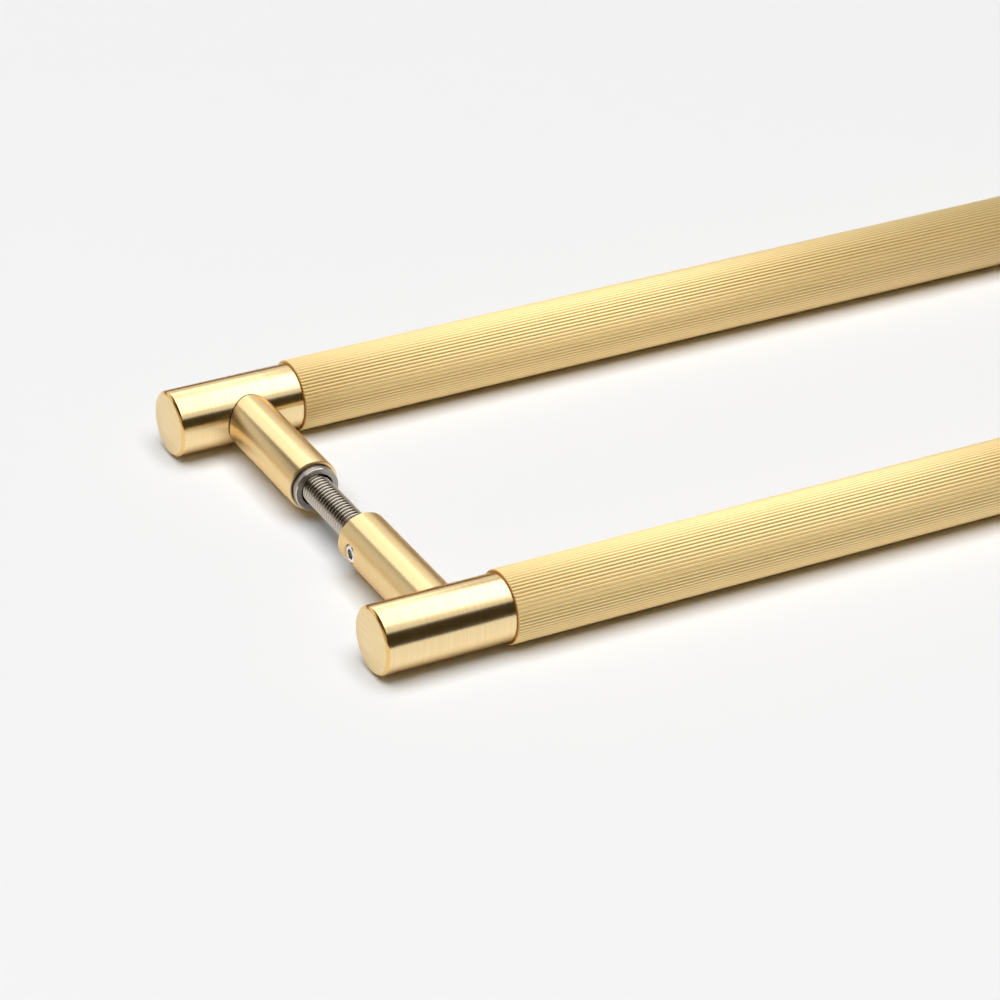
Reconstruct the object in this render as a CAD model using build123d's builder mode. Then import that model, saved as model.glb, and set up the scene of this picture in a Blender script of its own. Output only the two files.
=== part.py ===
from build123d import *
import math
import os

# A back-to-back door pull: two bars for the two faces of one door, joined by threaded rods.
# It lies on its grips, as on a table. The bars run along X, the posts and rods along Y, and Z is up.
# The near bar is at -Y and the far bar at +Y. The origin is on the table, in the middle of the pull.

# Layout
post_centres = 300.0  # between the two post axes of one bar
end_overhang = 20.0  # from a post's axis to the bar's end face
door_reach = 44.2  # from a bar's axis to the door face of its posts
door_gap = 27.6  # between the door faces of the near and the far posts

# End fittings, turned brass
fitting_diameter = 17.5
fitting_length = 35.0  # from the end face to the grip
fitting_chamfer = 0.65
seam_chamfer = 0.2  # edge break beside the grip
spigot_length = 16.0
spigot_chamfer = 0.8

# Grips, brass tube with straight ribs
grip_diameter = 19.0  # over the ribs
grip_bore = 12.0
rib_count = 64
rib_depth = 0.35
crest_width = 0.25
spigot_clearance = 0.05

# Posts, turned brass
post_diameter = 13.8
post_edge_chamfer = 0.35
saddle_clearance = 0.05

# Hidden studs between the fittings and the posts, M6
stud_diameter = 6.0
stud_in_fitting = 9.0
stud_in_post = 10.0
stud_chamfer = 0.6
stud_end_gap = 0.3
thread_clearance = 0.05

# Threaded rods through the door, M8
rod_diameter = 7.9  # over the crests of the thread
rod_embed = 16.0  # length inside each post
rod_chamfer = 0.8
rod_end_gap = 1.0
slide_clearance = 0.1  # between a rod and the bore of a near post

# Threaded inserts in the far posts, stainless steel
insert_diameter = 12.0
insert_length = 13.0
insert_stand = 2.4  # length that stands out of the post
insert_chamfer = 0.3
insert_mouth_diameter = 8.8
insert_mouth_depth = 3.0
insert_clearance = 0.02

# Grub screws in the near posts, M5
grub_diameter = 5.0
grub_setback = 6.4  # from the post's door face to the screw's axis
grub_recess = 0.3  # from the post's outermost line down to the screw's face
grub_chamfer = 0.4
grub_socket_width = 2.5  # across flats
grub_socket_depth = 1.5
grub_seat_clearance = 0.05

# Places that follow from the sizes above
bar_length = post_centres + 2 * end_overhang
grip_length = bar_length - 2 * fitting_length
axis_height = max(grip_diameter, fitting_diameter) / 2
bar_offset = door_reach + door_gap / 2


def bar_section(x, door_dir, facing):
    """Plane across a bar at x. door_dir is 1 for the near bar and -1 for the far bar."""
    return Plane(origin=(x, -door_dir * bar_offset, axis_height), x_dir=(0, 1, 0), z_dir=(facing, 0, 0))


def post_section(end, door_dir, reach):
    """Plane across a post, a given reach from its bar's axis, facing the door."""
    centre = (end * post_centres / 2, door_dir * (reach - bar_offset), axis_height)
    return Plane(origin=centre, x_dir=(1, 0, 0), z_dir=(0, door_dir, 0))


def rib_outline():
    """Corners of the grip's section: flat crests with a sharp groove after each, from the lowest crest round."""
    pitch = 2 * math.pi / rib_count
    crest_radius = grip_diameter / 2
    groove_radius = crest_radius - rib_depth
    corners = []
    for rib in range(rib_count):
        turn = rib * pitch - math.pi / 2
        crest_x, crest_y = crest_radius * math.cos(turn), crest_radius * math.sin(turn)
        side_x, side_y = crest_width / 2 * math.sin(turn), crest_width / 2 * math.cos(turn)
        groove = turn + pitch / 2
        corners.append((crest_x + side_x, crest_y - side_y))
        corners.append((crest_x - side_x, crest_y + side_y))
        corners.append((groove_radius * math.cos(groove), groove_radius * math.sin(groove)))
    return corners


def grip_tube(door_dir):
    with BuildPart() as grip:
        with BuildSketch(bar_section(-grip_length / 2, door_dir, 1)):
            with BuildLine():
                Polyline(*rib_outline(), close=True)
            make_face()
            Circle(grip_bore / 2, mode=Mode.SUBTRACT)
        extrude(amount=grip_length)
    return grip


def end_fitting(end, door_dir):
    end_face = bar_section(end * bar_length / 2, door_dir, -end)
    with BuildPart() as fitting:
        with BuildSketch(end_face):
            Circle(fitting_diameter / 2)
        extrude(amount=fitting_length)
        faces = fitting.faces().sort_by(Axis.X, reverse=end > 0)
        chamfer(faces[0].edges(), fitting_chamfer)
        chamfer(faces[-1].edges(), seam_chamfer)
        with BuildSketch(end_face.offset(fitting_length)):
            Circle(grip_bore / 2 - spigot_clearance)
        extrude(amount=spigot_length)
        chamfer(fitting.faces().sort_by(Axis.X, reverse=end > 0)[-1].edges(), spigot_chamfer)
        with BuildSketch(post_section(end, door_dir, fitting_diameter / 2)):
            Circle(stud_diameter / 2 + thread_clearance)
        extrude(amount=-(stud_in_fitting + stud_end_gap), mode=Mode.SUBTRACT)
    return fitting


def post_blank(end, door_dir, rod_bore):
    """A post with its saddle, its stud hole and the bore for the rod."""
    with BuildPart() as blank:
        with BuildSketch(post_section(end, door_dir, 0)):
            Circle(post_diameter / 2)
        extrude(amount=door_reach)
        chamfer(blank.faces().sort_by(Axis.Y, reverse=door_dir > 0)[0].edges(), post_edge_chamfer)
        with BuildSketch(bar_section(end * post_centres / 2, door_dir, 1)):
            Circle(fitting_diameter / 2 + saddle_clearance)
        extrude(amount=post_diameter, both=True, mode=Mode.SUBTRACT)
        with BuildSketch(post_section(end, door_dir, 0)):
            Circle(stud_diameter / 2 + thread_clearance)
        extrude(amount=fitting_diameter / 2 + stud_in_post + stud_end_gap, mode=Mode.SUBTRACT)
        with BuildSketch(post_section(end, door_dir, door_reach)):
            Circle(rod_bore / 2)
        extrude(amount=-(rod_embed + rod_end_gap), mode=Mode.SUBTRACT)
    return blank


def near_post(end):
    blank = post_blank(end, 1, rod_diameter + 2 * slide_clearance)
    with BuildPart() as post:
        add(blank.part)
        with BuildSketch(grub_section(end, 0)):
            Circle(grub_diameter / 2 + thread_clearance)
        extrude(amount=post_diameter, mode=Mode.SUBTRACT)
    return post


def far_post(end):
    blank = post_blank(end, -1, rod_diameter + 2 * thread_clearance)
    with BuildPart() as post:
        add(blank.part)
        with BuildSketch(post_section(end, -1, door_reach)):
            Circle(insert_diameter / 2 + insert_clearance)
        extrude(amount=-(insert_length - insert_stand), mode=Mode.SUBTRACT)
    return post


def post_stud(end, door_dir):
    with BuildPart() as stud:
        with BuildSketch(post_section(end, door_dir, fitting_diameter / 2 - stud_in_fitting)):
            Circle(stud_diameter / 2)
        extrude(amount=stud_in_fitting + stud_in_post)
        chamfer(stud.edges(), stud_chamfer)
    return stud


def grub_section(end, distance):
    """Plane across a grub screw, a given distance outwards from the post's axis."""
    centre = (end * (post_centres / 2 + distance), -door_gap / 2 - grub_setback, axis_height)
    return Plane(origin=centre, x_dir=(0, 1, 0), z_dir=(end, 0, 0))


def grub_screw(end):
    inner = rod_diameter / 2 + grub_seat_clearance
    outer = post_diameter / 2 - grub_recess
    with BuildPart() as grub:
        with BuildSketch(grub_section(end, inner)):
            Circle(grub_diameter / 2)
        extrude(amount=outer - inner)
        chamfer(grub.edges().filter_by(GeomType.CIRCLE), grub_chamfer)
        with BuildSketch(grub_section(end, outer)):
            RegularPolygon(grub_socket_width / 2, 6, major_radius=False)
        extrude(amount=-grub_socket_depth, mode=Mode.SUBTRACT)
    return grub


def threaded_insert(end):
    front = post_section(end, -1, door_reach + insert_stand)
    with BuildPart() as insert:
        with BuildSketch(front):
            Circle(insert_diameter / 2)
        extrude(amount=-insert_length)
        chamfer(insert.edges().filter_by(GeomType.CIRCLE), insert_chamfer)
        with BuildSketch(front):
            Circle(rod_diameter / 2 + thread_clearance)
        extrude(amount=-insert_length, mode=Mode.SUBTRACT)
        with BuildSketch(front):
            Circle(insert_mouth_diameter / 2)
        extrude(amount=-insert_mouth_depth, mode=Mode.SUBTRACT)
    return insert


def threaded_rod(end):
    with BuildPart() as rod:
        with BuildSketch(post_section(end, 1, door_reach - rod_embed)):
            Circle(rod_diameter / 2)
        extrude(amount=door_gap + 2 * rod_embed)
        chamfer(rod.edges().filter_by(GeomType.CIRCLE), rod_chamfer)
    return rod


ends = {"left": -1, "right": 1}
bars = {"near": 1, "far": -1}
pieces = {}
for bar, door_dir in bars.items():
    pieces[f"{bar}_grip_tube"] = grip_tube(door_dir)
    for side, end in ends.items():
        pieces[f"{bar}_{side}_end_fitting"] = end_fitting(end, door_dir)
        pieces[f"{bar}_{side}_post_stud"] = post_stud(end, door_dir)
for side, end in ends.items():
    pieces[f"near_{side}_post"] = near_post(end)
    pieces[f"near_{side}_grub_screw"] = grub_screw(end)
    pieces[f"far_{side}_post"] = far_post(end)
    pieces[f"far_{side}_threaded_insert"] = threaded_insert(end)
    pieces[f"{side}_threaded_rod"] = threaded_rod(end)

os.makedirs("parts", exist_ok=True)
for name, piece in pieces.items():
    piece.part.label = name
    export_step(piece.part, f"parts/{name}.step")
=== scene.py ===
import bmesh
import bpy
import math
from mathutils import Matrix, Quaternion, Vector


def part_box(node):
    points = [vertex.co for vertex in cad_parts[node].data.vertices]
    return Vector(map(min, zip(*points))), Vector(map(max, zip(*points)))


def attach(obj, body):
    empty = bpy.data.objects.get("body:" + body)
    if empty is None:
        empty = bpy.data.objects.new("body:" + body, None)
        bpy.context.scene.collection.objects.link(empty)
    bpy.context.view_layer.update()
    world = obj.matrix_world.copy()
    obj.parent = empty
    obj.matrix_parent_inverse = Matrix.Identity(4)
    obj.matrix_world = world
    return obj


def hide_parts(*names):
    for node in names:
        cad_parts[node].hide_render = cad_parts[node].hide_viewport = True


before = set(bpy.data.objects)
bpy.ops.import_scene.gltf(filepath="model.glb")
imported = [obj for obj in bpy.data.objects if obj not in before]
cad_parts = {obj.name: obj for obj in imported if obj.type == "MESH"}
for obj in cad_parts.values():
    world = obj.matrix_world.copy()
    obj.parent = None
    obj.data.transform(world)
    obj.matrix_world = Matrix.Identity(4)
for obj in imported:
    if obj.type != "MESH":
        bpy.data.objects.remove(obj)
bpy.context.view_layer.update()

# Grips
# Each grip is a thick brass tube with 64 straight ribs rolled along it, satin finished. The ribs are
# round on top and meet in narrow grooves. The spigots of the bar's two end fittings hold the grip.
mm = 0.001
ribs = 64
rib_steps = 10
rib_drops = (0.0, 0.01, 0.04, 0.09, 0.16, 0.26, 0.16, 0.09, 0.04, 0.01)  # mm below the crest
rib_end_length = 0.12 * mm
rib_end_radius = 9.2 * mm
grip_bore = 6.0 * mm
grip_colour = "#ffeaa6"
# The second colour is painted shade, mixed in towards the bottom of the grooves.
groove_shade_colour = "#e3a444"


def linear(code):
    """Turns an sRGB hex colour into linear red, green, blue and alpha."""
    channels = [int(code[i:i + 2], 16) / 255 for i in (1, 3, 5)]
    return [c / 12.92 if c <= 0.04045 else ((c + 0.055) / 1.055) ** 2.4 for c in channels] + [1.0]


def add_node(tree, kind, sockets=None, **settings):
    """Adds a node with its settings, and sets or links its input sockets."""
    node = tree.nodes.new(kind)
    for name, value in settings.items():
        setattr(node, name, value)
    for name, value in (sockets or {}).items():
        if isinstance(value, bpy.types.NodeSocket):
            tree.links.new(value, node.inputs[name])
        else:
            node.inputs[name].default_value = value
    return node


def new_material(name):
    material = bpy.data.materials.new(name)
    material.use_nodes = True
    material.node_tree.nodes.clear()
    return material, material.node_tree


def close_material(tree, surface):
    add_node(tree, "ShaderNodeOutputMaterial", {"Surface": surface.outputs["BSDF"]})


def add_piece(name, bm, materials, node):
    """Makes a finished bmesh a piece that stands for a CAD node."""
    mesh = bpy.data.meshes.new(name)
    bm.to_mesh(mesh)
    bm.free()
    piece = bpy.data.objects.new(name, mesh)
    bpy.context.scene.collection.objects.link(piece)
    for material in materials:
        mesh.materials.append(material)
    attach(piece, "root")
    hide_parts(node)


def next_ring(bm, ring, place):
    """Extrudes a ring of edges and puts each new vertex where place says."""
    made = bmesh.ops.extrude_edge_only(bm, edges=ring)["geom"]
    for vert in (g for g in made if isinstance(g, bmesh.types.BMVert)):
        vert.co = place(vert.co)
    return [g for g in made if isinstance(g, bmesh.types.BMEdge)]


# Rolled brass with a satin finish under clear lacquer: the ribs catch the light as pale lines on a warm
# ground, and the lacquer makes them paler where they turn away. Towards the bottom of the grooves the
# colour is painted darker and more orange, as painted shade between the ribs. The matt grain scatters
# part of the light, so the surface is only partly metallic. The grain is drawn 0.7 mm wide and 17 mm
# long, coarser than the real one, to show.
rolled_brass, tree = new_material("rolled_satin_brass")
coords = add_node(tree, "ShaderNodeTexCoord")
stretched = add_node(tree, "ShaderNodeMapping", {
    "Vector": coords.outputs["Object"], "Scale": (60, 1500, 1500)})
grain = add_node(tree, "ShaderNodeTexNoise", {
    "Vector": stretched.outputs["Vector"], "Scale": 1.0, "Detail": 3.0})
rough = add_node(tree, "ShaderNodeMapRange", {
    "Value": grain.outputs["Fac"], "To Min": 0.46, "To Max": 0.54})
# Painted shade: the depth stored on the mesh mixes the darker colour into the grooves.
groove_shade = add_node(tree, "ShaderNodeAttribute", attribute_name="groove_shade")
colour = add_node(tree, "ShaderNodeMix", {
    "Factor": groove_shade.outputs["Fac"], 6: linear(grip_colour), 7: linear(groove_shade_colour)}, data_type="RGBA")
surface = add_node(tree, "ShaderNodeBsdfPrincipled", {
    "Base Color": colour.outputs[2], "Metallic": 0.6, "Roughness": rough.outputs["Result"],
    "Coat Weight": 1.0, "Coat Roughness": 0.35, "Coat IOR": 1.7})
close_material(tree, surface)

# Darker brass on the sawn ends of the grip, a thin brown line beside each end fitting: painted shade of
# the gap there. The mottling is about 1.3 mm across.
gap_shade_brass, tree = new_material("gap_shade_brass")
coords = add_node(tree, "ShaderNodeTexCoord")
mottling = add_node(tree, "ShaderNodeTexNoise", {
    "Vector": coords.outputs["Object"], "Scale": 800.0, "Detail": 2.0})
colour = add_node(tree, "ShaderNodeMix", {
    "Factor": mottling.outputs["Fac"], 6: linear("#c99c58"), 7: linear("#e6bf7c")}, data_type="RGBA")
surface = add_node(tree, "ShaderNodeBsdfPrincipled", {
    "Base Color": colour.outputs[2], "Metallic": 1.0, "Roughness": 0.5})
close_material(tree, surface)

along_bar = Matrix(((0, 0, 1, 0), (1, 0, 0, 0), (0, 1, 0, 0), (0, 0, 0, 1)))  # turns a flat ring to face X
for bar in ("near", "far"):
    low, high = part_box(f"{bar}_grip_tube")
    axis = (low + high) / 2
    radius = (high.z - low.z) / 2

    def rib_drop(co):
        turn = math.atan2(co.z - axis.z, co.y - axis.y) / (2 * math.pi)
        return rib_drops[round(turn * ribs * rib_steps) % rib_steps] * mm

    def at_radius(co, x, size):
        spoke = Vector((0, co.y - axis.y, co.z - axis.z)).normalized() * size
        return Vector((x, axis.y, axis.z)) + spoke

    def ribbed(co, x):
        return at_radius(co, x, radius - rib_drop(co))

    def rib_end(co, x):
        return at_radius(co, x, min(radius - rib_drop(co), rib_end_radius))

    bm = bmesh.new()
    bmesh.ops.create_circle(bm, radius=radius, segments=ribs * rib_steps)
    place = Matrix.Translation((low.x, axis.y, axis.z)) @ along_bar
    bmesh.ops.transform(bm, matrix=place, verts=bm.verts)
    for vert in bm.verts:
        vert.co = rib_end(vert.co, low.x)
    first = list(bm.edges)
    ring = next_ring(bm, first, lambda co: ribbed(co, low.x + rib_end_length))
    ring = next_ring(bm, ring, lambda co: ribbed(co, high.x - rib_end_length))
    ring = next_ring(bm, ring, lambda co: rib_end(co, high.x))
    ring = next_ring(bm, ring, lambda co: at_radius(co, high.x, grip_bore))
    last = next_ring(bm, ring, lambda co: at_radius(co, low.x, grip_bore))
    bmesh.ops.bridge_loops(bm, edges=first + last)
    bmesh.ops.recalc_face_normals(bm, faces=bm.faces)
    # The end faces get the painted shade of the gap, the side gets the ribbed brass.
    for face in bm.faces:
        face.smooth = abs(face.normal.x) < 0.3
        face.material_index = 1 if abs(face.normal.x) > 0.9 else 0
    # Store how deep each vertex lies between the ribs, for the painted shade in the grooves.
    groove_shade_layer = bm.verts.layers.float.new("groove_shade")
    for vert in bm.verts:
        vert[groove_shade_layer] = rib_drop(vert.co) / (max(rib_drops) * mm)
    add_piece(f"{bar}_ribbed_grip", bm, [rolled_brass, gap_shade_brass],
              f"{bar}_grip_tube")

# End fittings
# Solid brass ends of each bar, turned on a lathe, with a spigot that goes into the grip. The side keeps
# its fine turning lines, the end face is brushed straight and its chamfer is polished.
fitting_radius = 8.75 * mm
end_chamfer = 0.74 * mm
chamfer_rounding = 0.08 * mm
seam_chamfer = 0.2 * mm
spigot_radius = 5.95 * mm
spigot_chamfer = 0.74 * mm
fitting_length = 35 * mm
merge_distance = 1e-7


def turned(bm, outline, centre, way, steps=128):
    """Spins an outline of (distance along, radius) points about the line through centre along way."""
    side = Vector((0, 0, 1))
    points = [bm.verts.new(centre + way * along + side * radius) for along, radius in outline]
    edges = [bm.edges.new(pair) for pair in zip(points, points[1:])]
    bmesh.ops.spin(bm, geom=points + edges, cent=centre, axis=way, angle=2 * math.pi, steps=steps,
                   use_merge=True)
    bmesh.ops.remove_doubles(bm, verts=bm.verts, dist=merge_distance)
    bmesh.ops.recalc_face_normals(bm, faces=bm.faces)


def smooth_but_for(bm, degrees):
    """Shades a mesh smooth, and keeps the edges that turn by more than this sharp."""
    for face in bm.faces:
        face.smooth = True
    for edge in bm.edges:
        edge.smooth = edge.calc_face_angle(0) < math.radians(degrees)


# Turned brass: fine lines round the bar draw the edges of the reflections out along it. The real lines
# are about 0.1 mm apart. They are drawn 0.3 mm apart, which is as fine as shows.
turned_brass, tree = new_material("turned_satin_brass")
coords = add_node(tree, "ShaderNodeTexCoord")
stretched = add_node(tree, "ShaderNodeMapping", {
    "Vector": coords.outputs["Object"], "Scale": (3500, 25, 25)})
lines = add_node(tree, "ShaderNodeTexNoise", {
    "Vector": stretched.outputs["Vector"], "Scale": 1.0, "Detail": 3.0})
rough = add_node(tree, "ShaderNodeMapRange", {
    "Value": lines.outputs["Fac"], "From Min": 0.3, "From Max": 0.7, "To Min": 0.2, "To Max": 0.26})
colour = add_node(tree, "ShaderNodeMix", {
    "Factor": lines.outputs["Fac"], 6: linear("#eecb8c"), 7: linear("#ffecbc")}, data_type="RGBA")
bump = add_node(tree, "ShaderNodeBump", {
    "Height": lines.outputs["Fac"], "Strength": 0.12, "Distance": 0.00001})
grooves = add_node(tree, "ShaderNodeCombineXYZ", {"X": 1.0})
surface = add_node(tree, "ShaderNodeBsdfPrincipled", {
    "Base Color": colour.outputs[2], "Metallic": 1.0, "Roughness": rough.outputs["Result"],
    "Specular Tint": linear("#c49a5c"), "Coat Weight": 0.7, "Coat Roughness": 0.2,
    "Anisotropic": 0.7, "Tangent": grooves.outputs["Vector"], "Normal": bump.outputs["Normal"]})
close_material(tree, surface)

# Brushed brass: straight scratches across the end faces, level with the table. They are drawn 0.4 mm
# apart, coarser than the real ones, to show.
brushed_brass, tree = new_material("brushed_brass_face")
coords = add_node(tree, "ShaderNodeTexCoord")
stretched = add_node(tree, "ShaderNodeMapping", {
    "Vector": coords.outputs["Object"], "Scale": (1, 100, 2500)})
lines = add_node(tree, "ShaderNodeTexNoise", {
    "Vector": stretched.outputs["Vector"], "Scale": 1.0, "Detail": 4.0})
rough = add_node(tree, "ShaderNodeMapRange", {
    "Value": lines.outputs["Fac"], "To Min": 0.3, "To Max": 0.5})
colour = add_node(tree, "ShaderNodeMix", {
    "Factor": lines.outputs["Fac"], 6: linear("#ecc98c"), 7: linear("#ffefc2")}, data_type="RGBA")
bump = add_node(tree, "ShaderNodeBump", {
    "Height": lines.outputs["Fac"], "Strength": 1.0, "Distance": 0.00003})
surface = add_node(tree, "ShaderNodeBsdfPrincipled", {
    "Base Color": colour.outputs[2], "Metallic": 1.0, "Roughness": rough.outputs["Result"],
    "Normal": bump.outputs["Normal"]})
close_material(tree, surface)

# Polished brass: the chamfer is a deep golden line round the end face. Its wear changes over 2.5 mm.
polished_brass, tree = new_material("polished_brass_chamfer")
coords = add_node(tree, "ShaderNodeTexCoord")
wear = add_node(tree, "ShaderNodeTexNoise", {
    "Vector": coords.outputs["Object"], "Scale": 400.0, "Detail": 2.0})
rough = add_node(tree, "ShaderNodeMapRange", {
    "Value": wear.outputs["Fac"], "To Min": 0.16, "To Max": 0.26})
surface = add_node(tree, "ShaderNodeBsdfPrincipled", {
    "Base Color": linear("#f5cc84"), "Metallic": 1.0, "Roughness": rough.outputs["Result"]})
close_material(tree, surface)

for bar in ("near", "far"):
    for side, end in (("left", -1), ("right", 1)):
        low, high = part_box(f"{bar}_{side}_end_fitting")
        centre = (low + high) / 2
        centre.x = low.x if end < 0 else high.x
        length = high.x - low.x
        outline = (
            (0, 0),
            (0, fitting_radius - end_chamfer),
            (0.4 * chamfer_rounding, fitting_radius - end_chamfer + chamfer_rounding),
            (end_chamfer - chamfer_rounding, fitting_radius - 0.4 * chamfer_rounding),
            (end_chamfer, fitting_radius),
            (fitting_length - seam_chamfer, fitting_radius),
            (fitting_length, fitting_radius - seam_chamfer),
            (fitting_length, spigot_radius),
            (length - spigot_chamfer, spigot_radius),
            (length, spigot_radius - spigot_chamfer),
            (length, 0),
        )
        bm = bmesh.new()
        turned(bm, outline, centre, Vector((-end, 0, 0)))
        smooth_but_for(bm, 25)
        for face in bm.faces:
            lean = abs(face.normal.x)
            from_end = abs(face.calc_center_median().x - centre.x)
            if from_end < end_chamfer:
                face.material_index = 1 if lean > 0.999 else 2
        add_piece(f"{bar}_{side}_turned_end", bm, [turned_brass, brushed_brass, polished_brass],
                  f"{bar}_{side}_end_fitting")

# Post studs
# Headless M6 steel studs, one between each end fitting and its post, screwed into both. They are hidden
# once the pull is put together.

# Plain steel: grey, with faint mill marks about 1 mm across.
plain_steel, tree = new_material("plain_steel")
coords = add_node(tree, "ShaderNodeTexCoord")
marks = add_node(tree, "ShaderNodeTexNoise", {
    "Vector": coords.outputs["Object"], "Scale": 900.0, "Detail": 2.0})
rough = add_node(tree, "ShaderNodeMapRange", {
    "Value": marks.outputs["Fac"], "To Min": 0.3, "To Max": 0.45})
surface = add_node(tree, "ShaderNodeBsdfPrincipled", {
    "Base Color": linear("#c2c2c0"), "Metallic": 1.0, "Roughness": rough.outputs["Result"]})
close_material(tree, surface)

for bar in ("near", "far"):
    for side in ("left", "right"):
        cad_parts[f"{bar}_{side}_post_stud"].material_slots[0].material = plain_steel

# Posts
# Round brass posts with a saddle end that sits on the end fitting, turned and finished satin. The studs
# hold them. The far posts take a threaded insert. The near ones, used as they were built, have a cross
# hole for a grub screw.
post_edge = 0.35 * mm
saddle_radius = 8.8 * mm
mouth_edge = 0.15 * mm
seam_depth = 0.6 * mm
seam_setbacks = (0.55, 0.15, 0.15, 0.0, 0.0)  # mm short of the saddle, from the side to the bore
saddle_start = 36 * mm  # its rows are 1 mm apart until they are moved onto the saddle
saddle_reach = 44.2 * mm  # from the door face to the bar's axis
stud_bore = 3.05 * mm
stud_bore_end = 25.15 * mm  # from the door face, as the two below
rod_bore_end = 17 * mm
insert_seat_end = 10.6 * mm
rod_bore = 4.0 * mm
insert_seat = 6.02 * mm

# Satin brass: fine lines round the post spread its reflections along it, so it looks soft and pale. The
# lines are drawn 0.3 mm apart, coarser than the real ones, to show.
satin_brass, tree = new_material("satin_brass")
coords = add_node(tree, "ShaderNodeTexCoord")
stretched = add_node(tree, "ShaderNodeMapping", {
    "Vector": coords.outputs["Object"], "Scale": (30, 3000, 30)})
haze = add_node(tree, "ShaderNodeTexNoise", {
    "Vector": stretched.outputs["Vector"], "Scale": 1.0, "Detail": 3.0})
rough = add_node(tree, "ShaderNodeMapRange", {
    "Value": haze.outputs["Fac"], "To Min": 0.25, "To Max": 0.36})
colour = add_node(tree, "ShaderNodeMix", {
    "Factor": haze.outputs["Fac"], 6: linear("#f8d490"), 7: linear("#ffe6b0")}, data_type="RGBA")
grooves = add_node(tree, "ShaderNodeCombineXYZ", {"Y": 1.0})
surface = add_node(tree, "ShaderNodeBsdfPrincipled", {
    "Base Color": colour.outputs[2], "Metallic": 1.0, "Roughness": rough.outputs["Result"],
    "Specular Tint": linear("#c49a5c"), "Coat Weight": 0.8, "Coat Roughness": 0.3,
    "Anisotropic": 0.8, "Tangent": grooves.outputs["Vector"]})
close_material(tree, surface)

# Painted shade in the seam of a post and its fitting: a thin dark line round the saddle, for the shade in
# the gap.
seam_shade, tree = new_material("painted_seam_shade")
coords = add_node(tree, "ShaderNodeTexCoord")
mottling = add_node(tree, "ShaderNodeTexNoise", {
    "Vector": coords.outputs["Object"], "Scale": 800.0, "Detail": 2.0})
colour = add_node(tree, "ShaderNodeMix", {
    "Factor": mottling.outputs["Fac"], 6: linear("#2a1c0a"), 7: linear("#48321a")}, data_type="RGBA")
surface = add_node(tree, "ShaderNodeBsdfPrincipled", {
    "Base Color": colour.outputs[2], "Roughness": 0.7, "Specular IOR Level": 0.1})
close_material(tree, surface)

for side in ("left", "right"):
    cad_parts[f"near_{side}_post"].material_slots[0].material = satin_brass
    low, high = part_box(f"far_{side}_post")
    centre = (low + high) / 2
    centre.y = low.y
    radius = (high.z - low.z) / 2
    outline = (
        (rod_bore_end, 0),
        (rod_bore_end, rod_bore),
        (insert_seat_end, rod_bore),
        (insert_seat_end, insert_seat),
        (mouth_edge, insert_seat),
        (0, insert_seat + mouth_edge),
        (0, radius - post_edge),
        (0.1 * post_edge, radius - 0.6 * post_edge),
        (0.4 * post_edge, radius - 0.2 * post_edge),
        (post_edge, radius),
        (saddle_start, radius),
        (saddle_start + 1 * mm, radius),
        (saddle_start + 2 * mm, radius - seam_depth),
        (saddle_start + 3 * mm, radius - seam_depth),
        (saddle_start + 4 * mm, stud_bore),
        (stud_bore_end, stud_bore),
        (stud_bore_end, 0),
    )
    bm = bmesh.new()
    turned(bm, outline, centre, Vector((0, 1, 0)))
    # The faces of the seam's narrow cut get the painted seam shade.
    for face in bm.faces:
        row = (face.calc_center_median().y - low.y - saddle_start) / mm
        face.material_index = 1 if 0 < row < 3 else 0
    for vert in bm.verts:
        row = round((vert.co.y - low.y - saddle_start) / mm)
        if row >= 0:
            saddle = saddle_reach - math.sqrt(saddle_radius ** 2 - (vert.co.z - centre.z) ** 2)
            vert.co.y = low.y + saddle - seam_setbacks[row] * mm
    bmesh.ops.recalc_face_normals(bm, faces=bm.faces)
    smooth_but_for(bm, 30)
    add_piece(f"far_{side}_saddle_post", bm, [satin_brass, seam_shade], f"far_{side}_post")

# Threaded inserts
# A stainless steel bush in each far post, turned all over and threaded for the rod. It stands 2.4 mm out
# of the post, with a narrow neck behind its rim.
insert_chamfer = 0.15 * mm
insert_bore = 4.0 * mm
mouth_radius = 4.4 * mm
mouth_depth = 3.0 * mm
neck_radius = 5.5 * mm
neck_front = 1.5 * mm
neck_back = 2.5 * mm

# Turned stainless steel: grey and mottled, with marks about 0.6 mm across.
turned_steel, tree = new_material("turned_stainless_steel")
coords = add_node(tree, "ShaderNodeTexCoord")
marks = add_node(tree, "ShaderNodeTexNoise", {
    "Vector": coords.outputs["Object"], "Scale": 1600.0, "Detail": 3.0})
rough = add_node(tree, "ShaderNodeMapRange", {
    "Value": marks.outputs["Fac"], "To Min": 0.22, "To Max": 0.4})
colour = add_node(tree, "ShaderNodeMix", {
    "Factor": marks.outputs["Fac"], 6: linear("#928c86"), 7: linear("#bab4ad")}, data_type="RGBA")
surface = add_node(tree, "ShaderNodeBsdfPrincipled", {
    "Base Color": colour.outputs[2], "Metallic": 1.0, "Roughness": rough.outputs["Result"]})
close_material(tree, surface)

# Painted shade inside the bush: its mouth and bore are painted nearly black, for the shade in the bore.
bore_shade_steel, tree = new_material("painted_bore_shade")
coords = add_node(tree, "ShaderNodeTexCoord")
marks = add_node(tree, "ShaderNodeTexNoise", {
    "Vector": coords.outputs["Object"], "Scale": 1600.0, "Detail": 2.0})
colour = add_node(tree, "ShaderNodeMix", {
    "Factor": marks.outputs["Fac"], 6: linear("#1d1914"), 7: linear("#3a342d")}, data_type="RGBA")
surface = add_node(tree, "ShaderNodeBsdfPrincipled", {
    "Base Color": colour.outputs[2], "Metallic": 1.0, "Roughness": 0.5})
close_material(tree, surface)

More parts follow.
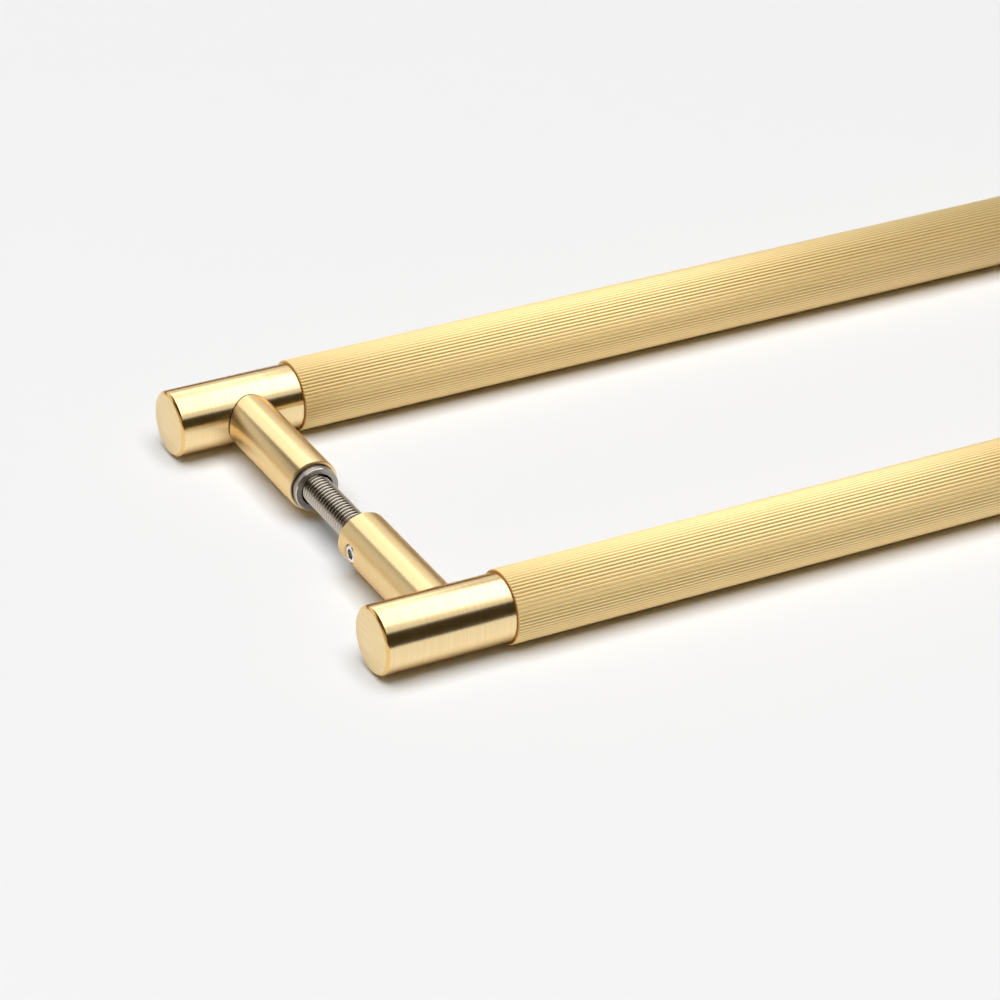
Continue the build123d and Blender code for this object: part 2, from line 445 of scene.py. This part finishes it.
# Polished steel: the chamfer of the bush and the grub screws are a bright line and a bright ring.
polished_steel, tree = new_material("polished_steel")
coords = add_node(tree, "ShaderNodeTexCoord")
marks = add_node(tree, "ShaderNodeTexNoise", {
    "Vector": coords.outputs["Object"], "Scale": 1500.0, "Detail": 2.0})
rough = add_node(tree, "ShaderNodeMapRange", {
    "Value": marks.outputs["Fac"], "To Min": 0.12, "To Max": 0.24})
surface = add_node(tree, "ShaderNodeBsdfPrincipled", {
    "Base Color": linear("#e6e4e0"), "Metallic": 1.0, "Roughness": rough.outputs["Result"]})
close_material(tree, surface)

for side in ("left", "right"):
    low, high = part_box(f"far_{side}_threaded_insert")
    centre = (low + high) / 2
    centre.y = low.y
    radius = (high.z - low.z) / 2
    length = high.y - low.y
    outline = (
        (mouth_depth, insert_bore),
        (mouth_depth, mouth_radius),
        (insert_chamfer / 2, mouth_radius),
        (0, mouth_radius + insert_chamfer / 2),
        (0, radius - insert_chamfer),
        (insert_chamfer, radius),
        (neck_front, radius),
        (neck_front, neck_radius),
        (neck_back, neck_radius),
        (neck_back, radius),
        (length - insert_chamfer, radius),
        (length, radius - insert_chamfer),
        (length, insert_bore),
        (mouth_depth, insert_bore),
    )
    bm = bmesh.new()
    turned(bm, outline, centre, Vector((0, 1, 0)))
    smooth_but_for(bm, 20)
    # Faces within the mouth's radius get the painted bore shade, and the front chamfer the polished steel.
    for face in bm.faces:
        spokes = [(vert.co - centre).xz.length for vert in face.verts]
        if max(spokes) < mouth_radius + 1e-6:
            face.material_index = 1
        elif abs(face.calc_center_median().y - low.y) < insert_chamfer and max(spokes) > radius - 1e-6:
            face.material_index = 2
    add_piece(f"far_{side}_steel_bush", bm, [turned_steel, bore_shade_steel, polished_steel],
              f"far_{side}_threaded_insert")

# Threaded rods
# M8 stainless steel rods with a rolled thread of 1.25 mm pitch. Each screws into a far insert and slides
# into a near post.
pitch = 1.25 * mm
thread_depth = 0.72 * mm
crest_rounding = 0.05 * mm
crest_drop = 0.01 * mm
turn_steps = 48
thread_merge_distance = 2e-6

# Rolled stainless thread: bright crests, and grooves painted dark as painted shade at the thread's root.
rolled_steel, tree = new_material("rolled_stainless_thread")
coords = add_node(tree, "ShaderNodeTexCoord")
marks = add_node(tree, "ShaderNodeTexNoise", {
    "Vector": coords.outputs["Object"], "Scale": 900.0, "Detail": 3.0})
rough = add_node(tree, "ShaderNodeMapRange", {
    "Value": marks.outputs["Fac"], "To Min": 0.18, "To Max": 0.3})
groove_shade = add_node(tree, "ShaderNodeAttribute", attribute_name="groove_shade")
colour = add_node(tree, "ShaderNodeMix", {
    "Factor": groove_shade.outputs["Fac"], 6: linear("#d0c6b8"), 7: linear("#544b44")}, data_type="RGBA")
surface = add_node(tree, "ShaderNodeBsdfPrincipled", {
    "Base Color": colour.outputs[2], "Metallic": 1.0, "Roughness": rough.outputs["Result"]})
close_material(tree, surface)

for side in ("left", "right"):
    low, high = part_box(f"{side}_threaded_rod")
    centre = (low + high) / 2
    radius = (high.z - low.z) / 2
    root = radius - thread_depth
    outline = (  # mm along the rod, and radius, over one turn
        (0.0, root),
        (0.12, root),
        (0.50, radius - crest_rounding),
        (0.56, radius - crest_drop),
        (0.625, radius),
        (0.69, radius - crest_drop),
        (0.75, radius - crest_rounding),
        (1.13, root),
        (1.25, root),
    )
    turns = math.ceil((high.y - low.y) / pitch) + 2
    start = Vector((centre.x, low.y - pitch, centre.z))
    bm = bmesh.new()
    points = [bm.verts.new(start + Vector((0, along * mm, height))) for along, height in outline]
    edges = [bm.edges.new(pair) for pair in zip(points, points[1:])]
    bmesh.ops.spin(bm, geom=points + edges, cent=centre, axis=(0, 1, 0), dvec=(0, pitch / turn_steps, 0),
                   angle=2 * math.pi, steps=turn_steps)
    one_turn = list(bm.verts) + list(bm.edges) + list(bm.faces)
    for turn in range(1, turns):
        more = bmesh.ops.duplicate(bm, geom=one_turn)["geom"]
        moved = [g for g in more if isinstance(g, bmesh.types.BMVert)]
        bmesh.ops.translate(bm, vec=(0, turn * pitch, 0), verts=moved)
    bmesh.ops.remove_doubles(bm, verts=bm.verts, dist=thread_merge_distance)
    for cut, way in ((low.y, 1), (high.y, -1)):
        plane = Vector((centre.x, cut, centre.z))
        geom = list(bm.verts) + list(bm.edges) + list(bm.faces)
        bmesh.ops.bisect_plane(bm, geom=geom, plane_co=plane, plane_no=(0, way, 0), clear_inner=True)
        rim = [edge for edge in bm.edges if edge.is_boundary and abs(edge.verts[0].co.y - cut) < 1e-6]
        bmesh.ops.holes_fill(bm, edges=rim)
    bmesh.ops.recalc_face_normals(bm, faces=bm.faces)
    smooth_but_for(bm, 35)
    # Store how deep each vertex lies in the thread, for the painted shade at its root.
    groove_shade_layer = bm.verts.layers.float.new("groove_shade")
    for vert in bm.verts:
        spoke = Vector((vert.co.x - centre.x, 0, vert.co.z - centre.z))
        vert[groove_shade_layer] = min((radius - spoke.length) / thread_depth, 1.0) ** 2
    add_piece(f"{side}_rolled_rod", bm, [rolled_steel], f"{side}_threaded_rod")

# Grub screws
# A headless M5 steel screw in the cross hole of each near post, with a hexagon socket. It clamps the post
# on the rod.
socket_flat = 1.25 * mm  # from the screw's axis to a flat
socket_depth = 1.5 * mm
screw_chamfer = 0.4 * mm

for side, end in (("left", -1), ("right", 1)):
    low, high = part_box(f"near_{side}_grub_screw")
    centre = (low + high) / 2
    outer = low.x if end < 0 else high.x
    inner = high.x if end < 0 else low.x
    radius = (high.z - low.z) / 2
    bm = bmesh.new()
    bmesh.ops.create_circle(bm, radius=radius - screw_chamfer, segments=48)
    place = Matrix.Translation((inner, centre.y, centre.z)) @ along_bar
    bmesh.ops.transform(bm, matrix=place, verts=bm.verts)
    first = list(bm.edges)

    def ringed(co, x, size):
        spoke = Vector((0, co.y - centre.y, co.z - centre.z)).normalized() * size
        return Vector((x, centre.y, centre.z)) + spoke

    def hexagonal(co, x):
        turn = math.atan2(co.z - centre.z, co.y - centre.y) % (math.pi / 3) - math.pi / 6
        return ringed(co, x, socket_flat / math.cos(turn))

    ring = next_ring(bm, first, lambda co: ringed(co, inner + end * screw_chamfer, radius))
    ring = next_ring(bm, ring, lambda co: ringed(co, outer - end * screw_chamfer, radius))
    ring = next_ring(bm, ring, lambda co: ringed(co, outer, radius - screw_chamfer))
    ring = next_ring(bm, ring, lambda co: hexagonal(co, outer))
    last = next_ring(bm, ring, lambda co: hexagonal(co, outer - end * socket_depth))
    bmesh.ops.holes_fill(bm, edges=first)
    bmesh.ops.holes_fill(bm, edges=last)
    bmesh.ops.recalc_face_normals(bm, faces=bm.faces)
    smooth_but_for(bm, 25)
    add_piece(f"near_{side}_socket_screw", bm, [polished_steel], f"near_{side}_grub_screw")

# Floor and studio
# A plain pale table top under one broad soft lamp. The metal mirrors four plain panels over the pull, a
# warm wall on its left, a white wall and ceiling on its right and a pale backdrop behind it. The rest of
# the room is dark and warm.
table_half = 8.0
lamp_height = 10.0
lamp_sides = (-0.82, 0.34)  # as shares of its height
lamp_ends = (-0.62, 0.30)  # as shares of its height
lamp_level = 4.35
panel_height = 0.33
panels = (  # left and right side, front and back end, and level
    ((-0.33, 0.17), (-0.37, -0.19), 0.8),
    ((-0.33, 0.17), (-0.19, 0.19), 1.64),
    ((-0.33, 0.0), (0.19, 0.36), 1.0),
    ((-0.33, 0.03), (0.36, 0.52), 1.6),
)
wall_level = 0.62
ceiling_level = 0.7
room_level = 0.035
backdrop_share = 0.95  # how much of the backdrop the metal shows

# Matt white paint: pale grey under the lamp, with hardly any change over its 0.3 m patches.
floor_paint, tree = new_material("matt_white_table")
coords = add_node(tree, "ShaderNodeTexCoord")
fibres = add_node(tree, "ShaderNodeTexNoise", {
    "Vector": coords.outputs["Object"], "Scale": 3.0, "Detail": 2.0})
colour = add_node(tree, "ShaderNodeMix", {
    "Factor": fibres.outputs["Fac"], 6: linear("#f3f3f3"), 7: linear("#f5f5f5")}, data_type="RGBA")
surface = add_node(tree, "ShaderNodeBsdfPrincipled", {
    "Base Color": colour.outputs[2], "Roughness": 0.9, "Specular IOR Level": 0.0})
close_material(tree, surface)
bm = bmesh.new()
bmesh.ops.create_grid(bm, x_segments=1, y_segments=1, size=table_half)
mesh = bpy.data.meshes.new("table_top")
bm.to_mesh(mesh)
bm.free()
mesh.materials.append(floor_paint)
table_top = bpy.data.objects.new("table_top", mesh)
bpy.context.scene.collection.objects.link(table_top)


def add_lamp(name, place, size, level):
    """Adds a rectangular lamp that faces down. Level is its brightness."""
    data = bpy.data.lights.new(name, "AREA")
    data.shape = "RECTANGLE"
    data.size, data.size_y = size
    data.energy = math.pi * size[0] * size[1] * level
    lamp = bpy.data.objects.new(name, data)
    bpy.context.scene.collection.objects.link(lamp)
    lamp.location = place
    lamp.visible_camera = False
    return lamp


def middle_and_size(sides, ends):
    return [sum(sides) / 2, sum(ends) / 2], [sides[1] - sides[0], ends[1] - ends[0]]


# The lamp lights the table, and the metal mirrors the panels in its place. A panel is dark for light that
# has been scattered, so that the metal throws none of the panel's light on the table.
middle, size = middle_and_size(lamp_sides, lamp_ends)
place = [lamp_height * part for part in middle] + [lamp_height]
lamp = add_lamp("overhead_lamp", place, [lamp_height * part for part in size], lamp_level)
lamp.visible_glossy = False
for i, (sides, panel_ends, level) in enumerate(panels):
    middle, size = middle_and_size(sides, panel_ends)
    panel = add_lamp(f"top_panel_{i}", middle + [panel_height], size, level)
    panel.visible_diffuse = False
    panel.data.use_nodes = True
    tree = panel.data.node_tree
    tree.nodes.clear()
    path = add_node(tree, "ShaderNodeLightPath")
    strength = add_node(tree, "ShaderNodeMath", {
        0: path.outputs["Diffuse Depth"], 1: 0.5}, operation="LESS_THAN")
    glow = add_node(tree, "ShaderNodeEmission", {"Strength": strength.outputs[0]})
    add_node(tree, "ShaderNodeOutputLight", {"Surface": glow.outputs["Emission"]})

world = bpy.data.worlds.new("studio")
bpy.context.scene.world = world
world.use_nodes = True
world.cycles_visibility.diffuse = False
tree = world.node_tree
tree.nodes.clear()
coords = add_node(tree, "ShaderNodeTexCoord")
way = add_node(tree, "ShaderNodeSeparateXYZ", {"Vector": coords.outputs["Generated"]})
across, deep, up = way.outputs["X"], way.outputs["Y"], way.outputs["Z"]


def softly(tree, level, edges):
    """Multiplies a level by a soft step for each (value, where it is dark, where it is lit)."""
    for value, dark, lit in edges:
        step = add_node(tree, "ShaderNodeMapRange", {
            "Value": value, "From Min": dark, "From Max": lit}, interpolation_type="SMOOTHSTEP")
        product = add_node(tree, "ShaderNodeMath", {
            0: level, 1: step.outputs["Result"]}, operation="MULTIPLY")
        level = product.outputs[0]
    return level


# The walls, the ceiling and the mirrored backdrop are dark for scattered light too, as the panels are.
# The backdrop is also what the camera sees behind the table.
path = add_node(tree, "ShaderNodeLightPath")
seen = add_node(tree, "ShaderNodeBackground", {"Color": (1.0, 0.7, 0.24, 1.0), "Strength": room_level})
for level, colour, edges in (
        (wall_level, "#fff0d8", ((up, 0.46, 0.28), (across, -0.2, -0.5), (deep, -0.6, -0.3))),
        (wall_level, "#ffffff", ((up, 0.6, 0.3), (across, 0.75, 0.95))),
        (ceiling_level, "#ffffff", ((up, 0.5, 0.68), (across, 0.0, 0.3), (deep, -0.55, -0.35)))):
    level = softly(tree, softly(tree, level, edges), ((path.outputs["Diffuse Depth"], 0.9, 0.1),))
    light = add_node(tree, "ShaderNodeBackground", {"Color": linear(colour), "Strength": level})
    seen = add_node(tree, "ShaderNodeAddShader", {0: seen.outputs[0], 1: light.outputs[0]})
mirrored = add_node(tree, "ShaderNodeMath", {
    0: path.outputs["Is Glossy Ray"], 1: path.outputs["Is Transmission Ray"]}, operation="ADD")
share = softly(tree, backdrop_share, ((up, 0.15, 0.25), (up, 0.6, 0.52), (deep, 0.4, 0.6)))
share = softly(tree, share, ((path.outputs["Diffuse Depth"], 0.9, 0.1), (mirrored.outputs[0], 0.0, 1.0)))
share = add_node(tree, "ShaderNodeMath", {0: path.outputs["Is Camera Ray"], 1: share}, operation="ADD")
backdrop = add_node(tree, "ShaderNodeBackground", {"Color": linear("#f4f4f4"), "Strength": 1.0})
seen = add_node(tree, "ShaderNodeMixShader", {
    0: share.outputs[0], 1: seen.outputs[0], 2: backdrop.outputs[0]})
add_node(tree, "ShaderNodeOutputWorld", {"Surface": seen.outputs["Shader"]})

# Camera
# It looks down at the left end of the pull from its front left, through a long lens, and leans a little
# to one side.
# The places and the lens come from a fit of the pull's edges to the photo.
eye = Vector((-0.552679, -0.800051, 0.542639))
target = Vector((-0.110854, -0.01314, 0.0095))
lean = math.radians(1.8346)
camera_data = bpy.data.cameras.new("camera")
camera_data.lens = 149.765
camera_data.sensor_width = 36.0
camera_data.clip_start = 0.05
camera_data.clip_end = 50.0
camera = bpy.data.objects.new("camera", camera_data)
bpy.context.scene.collection.objects.link(camera)
camera.location = eye
camera.rotation_mode = "QUATERNION"
camera.rotation_quaternion = (target - eye).to_track_quat("-Z", "Y") @ Quaternion((0, 0, 1), lean)
bpy.context.scene.camera = camera
bpy.context.scene.view_settings.view_transform = "Standard"
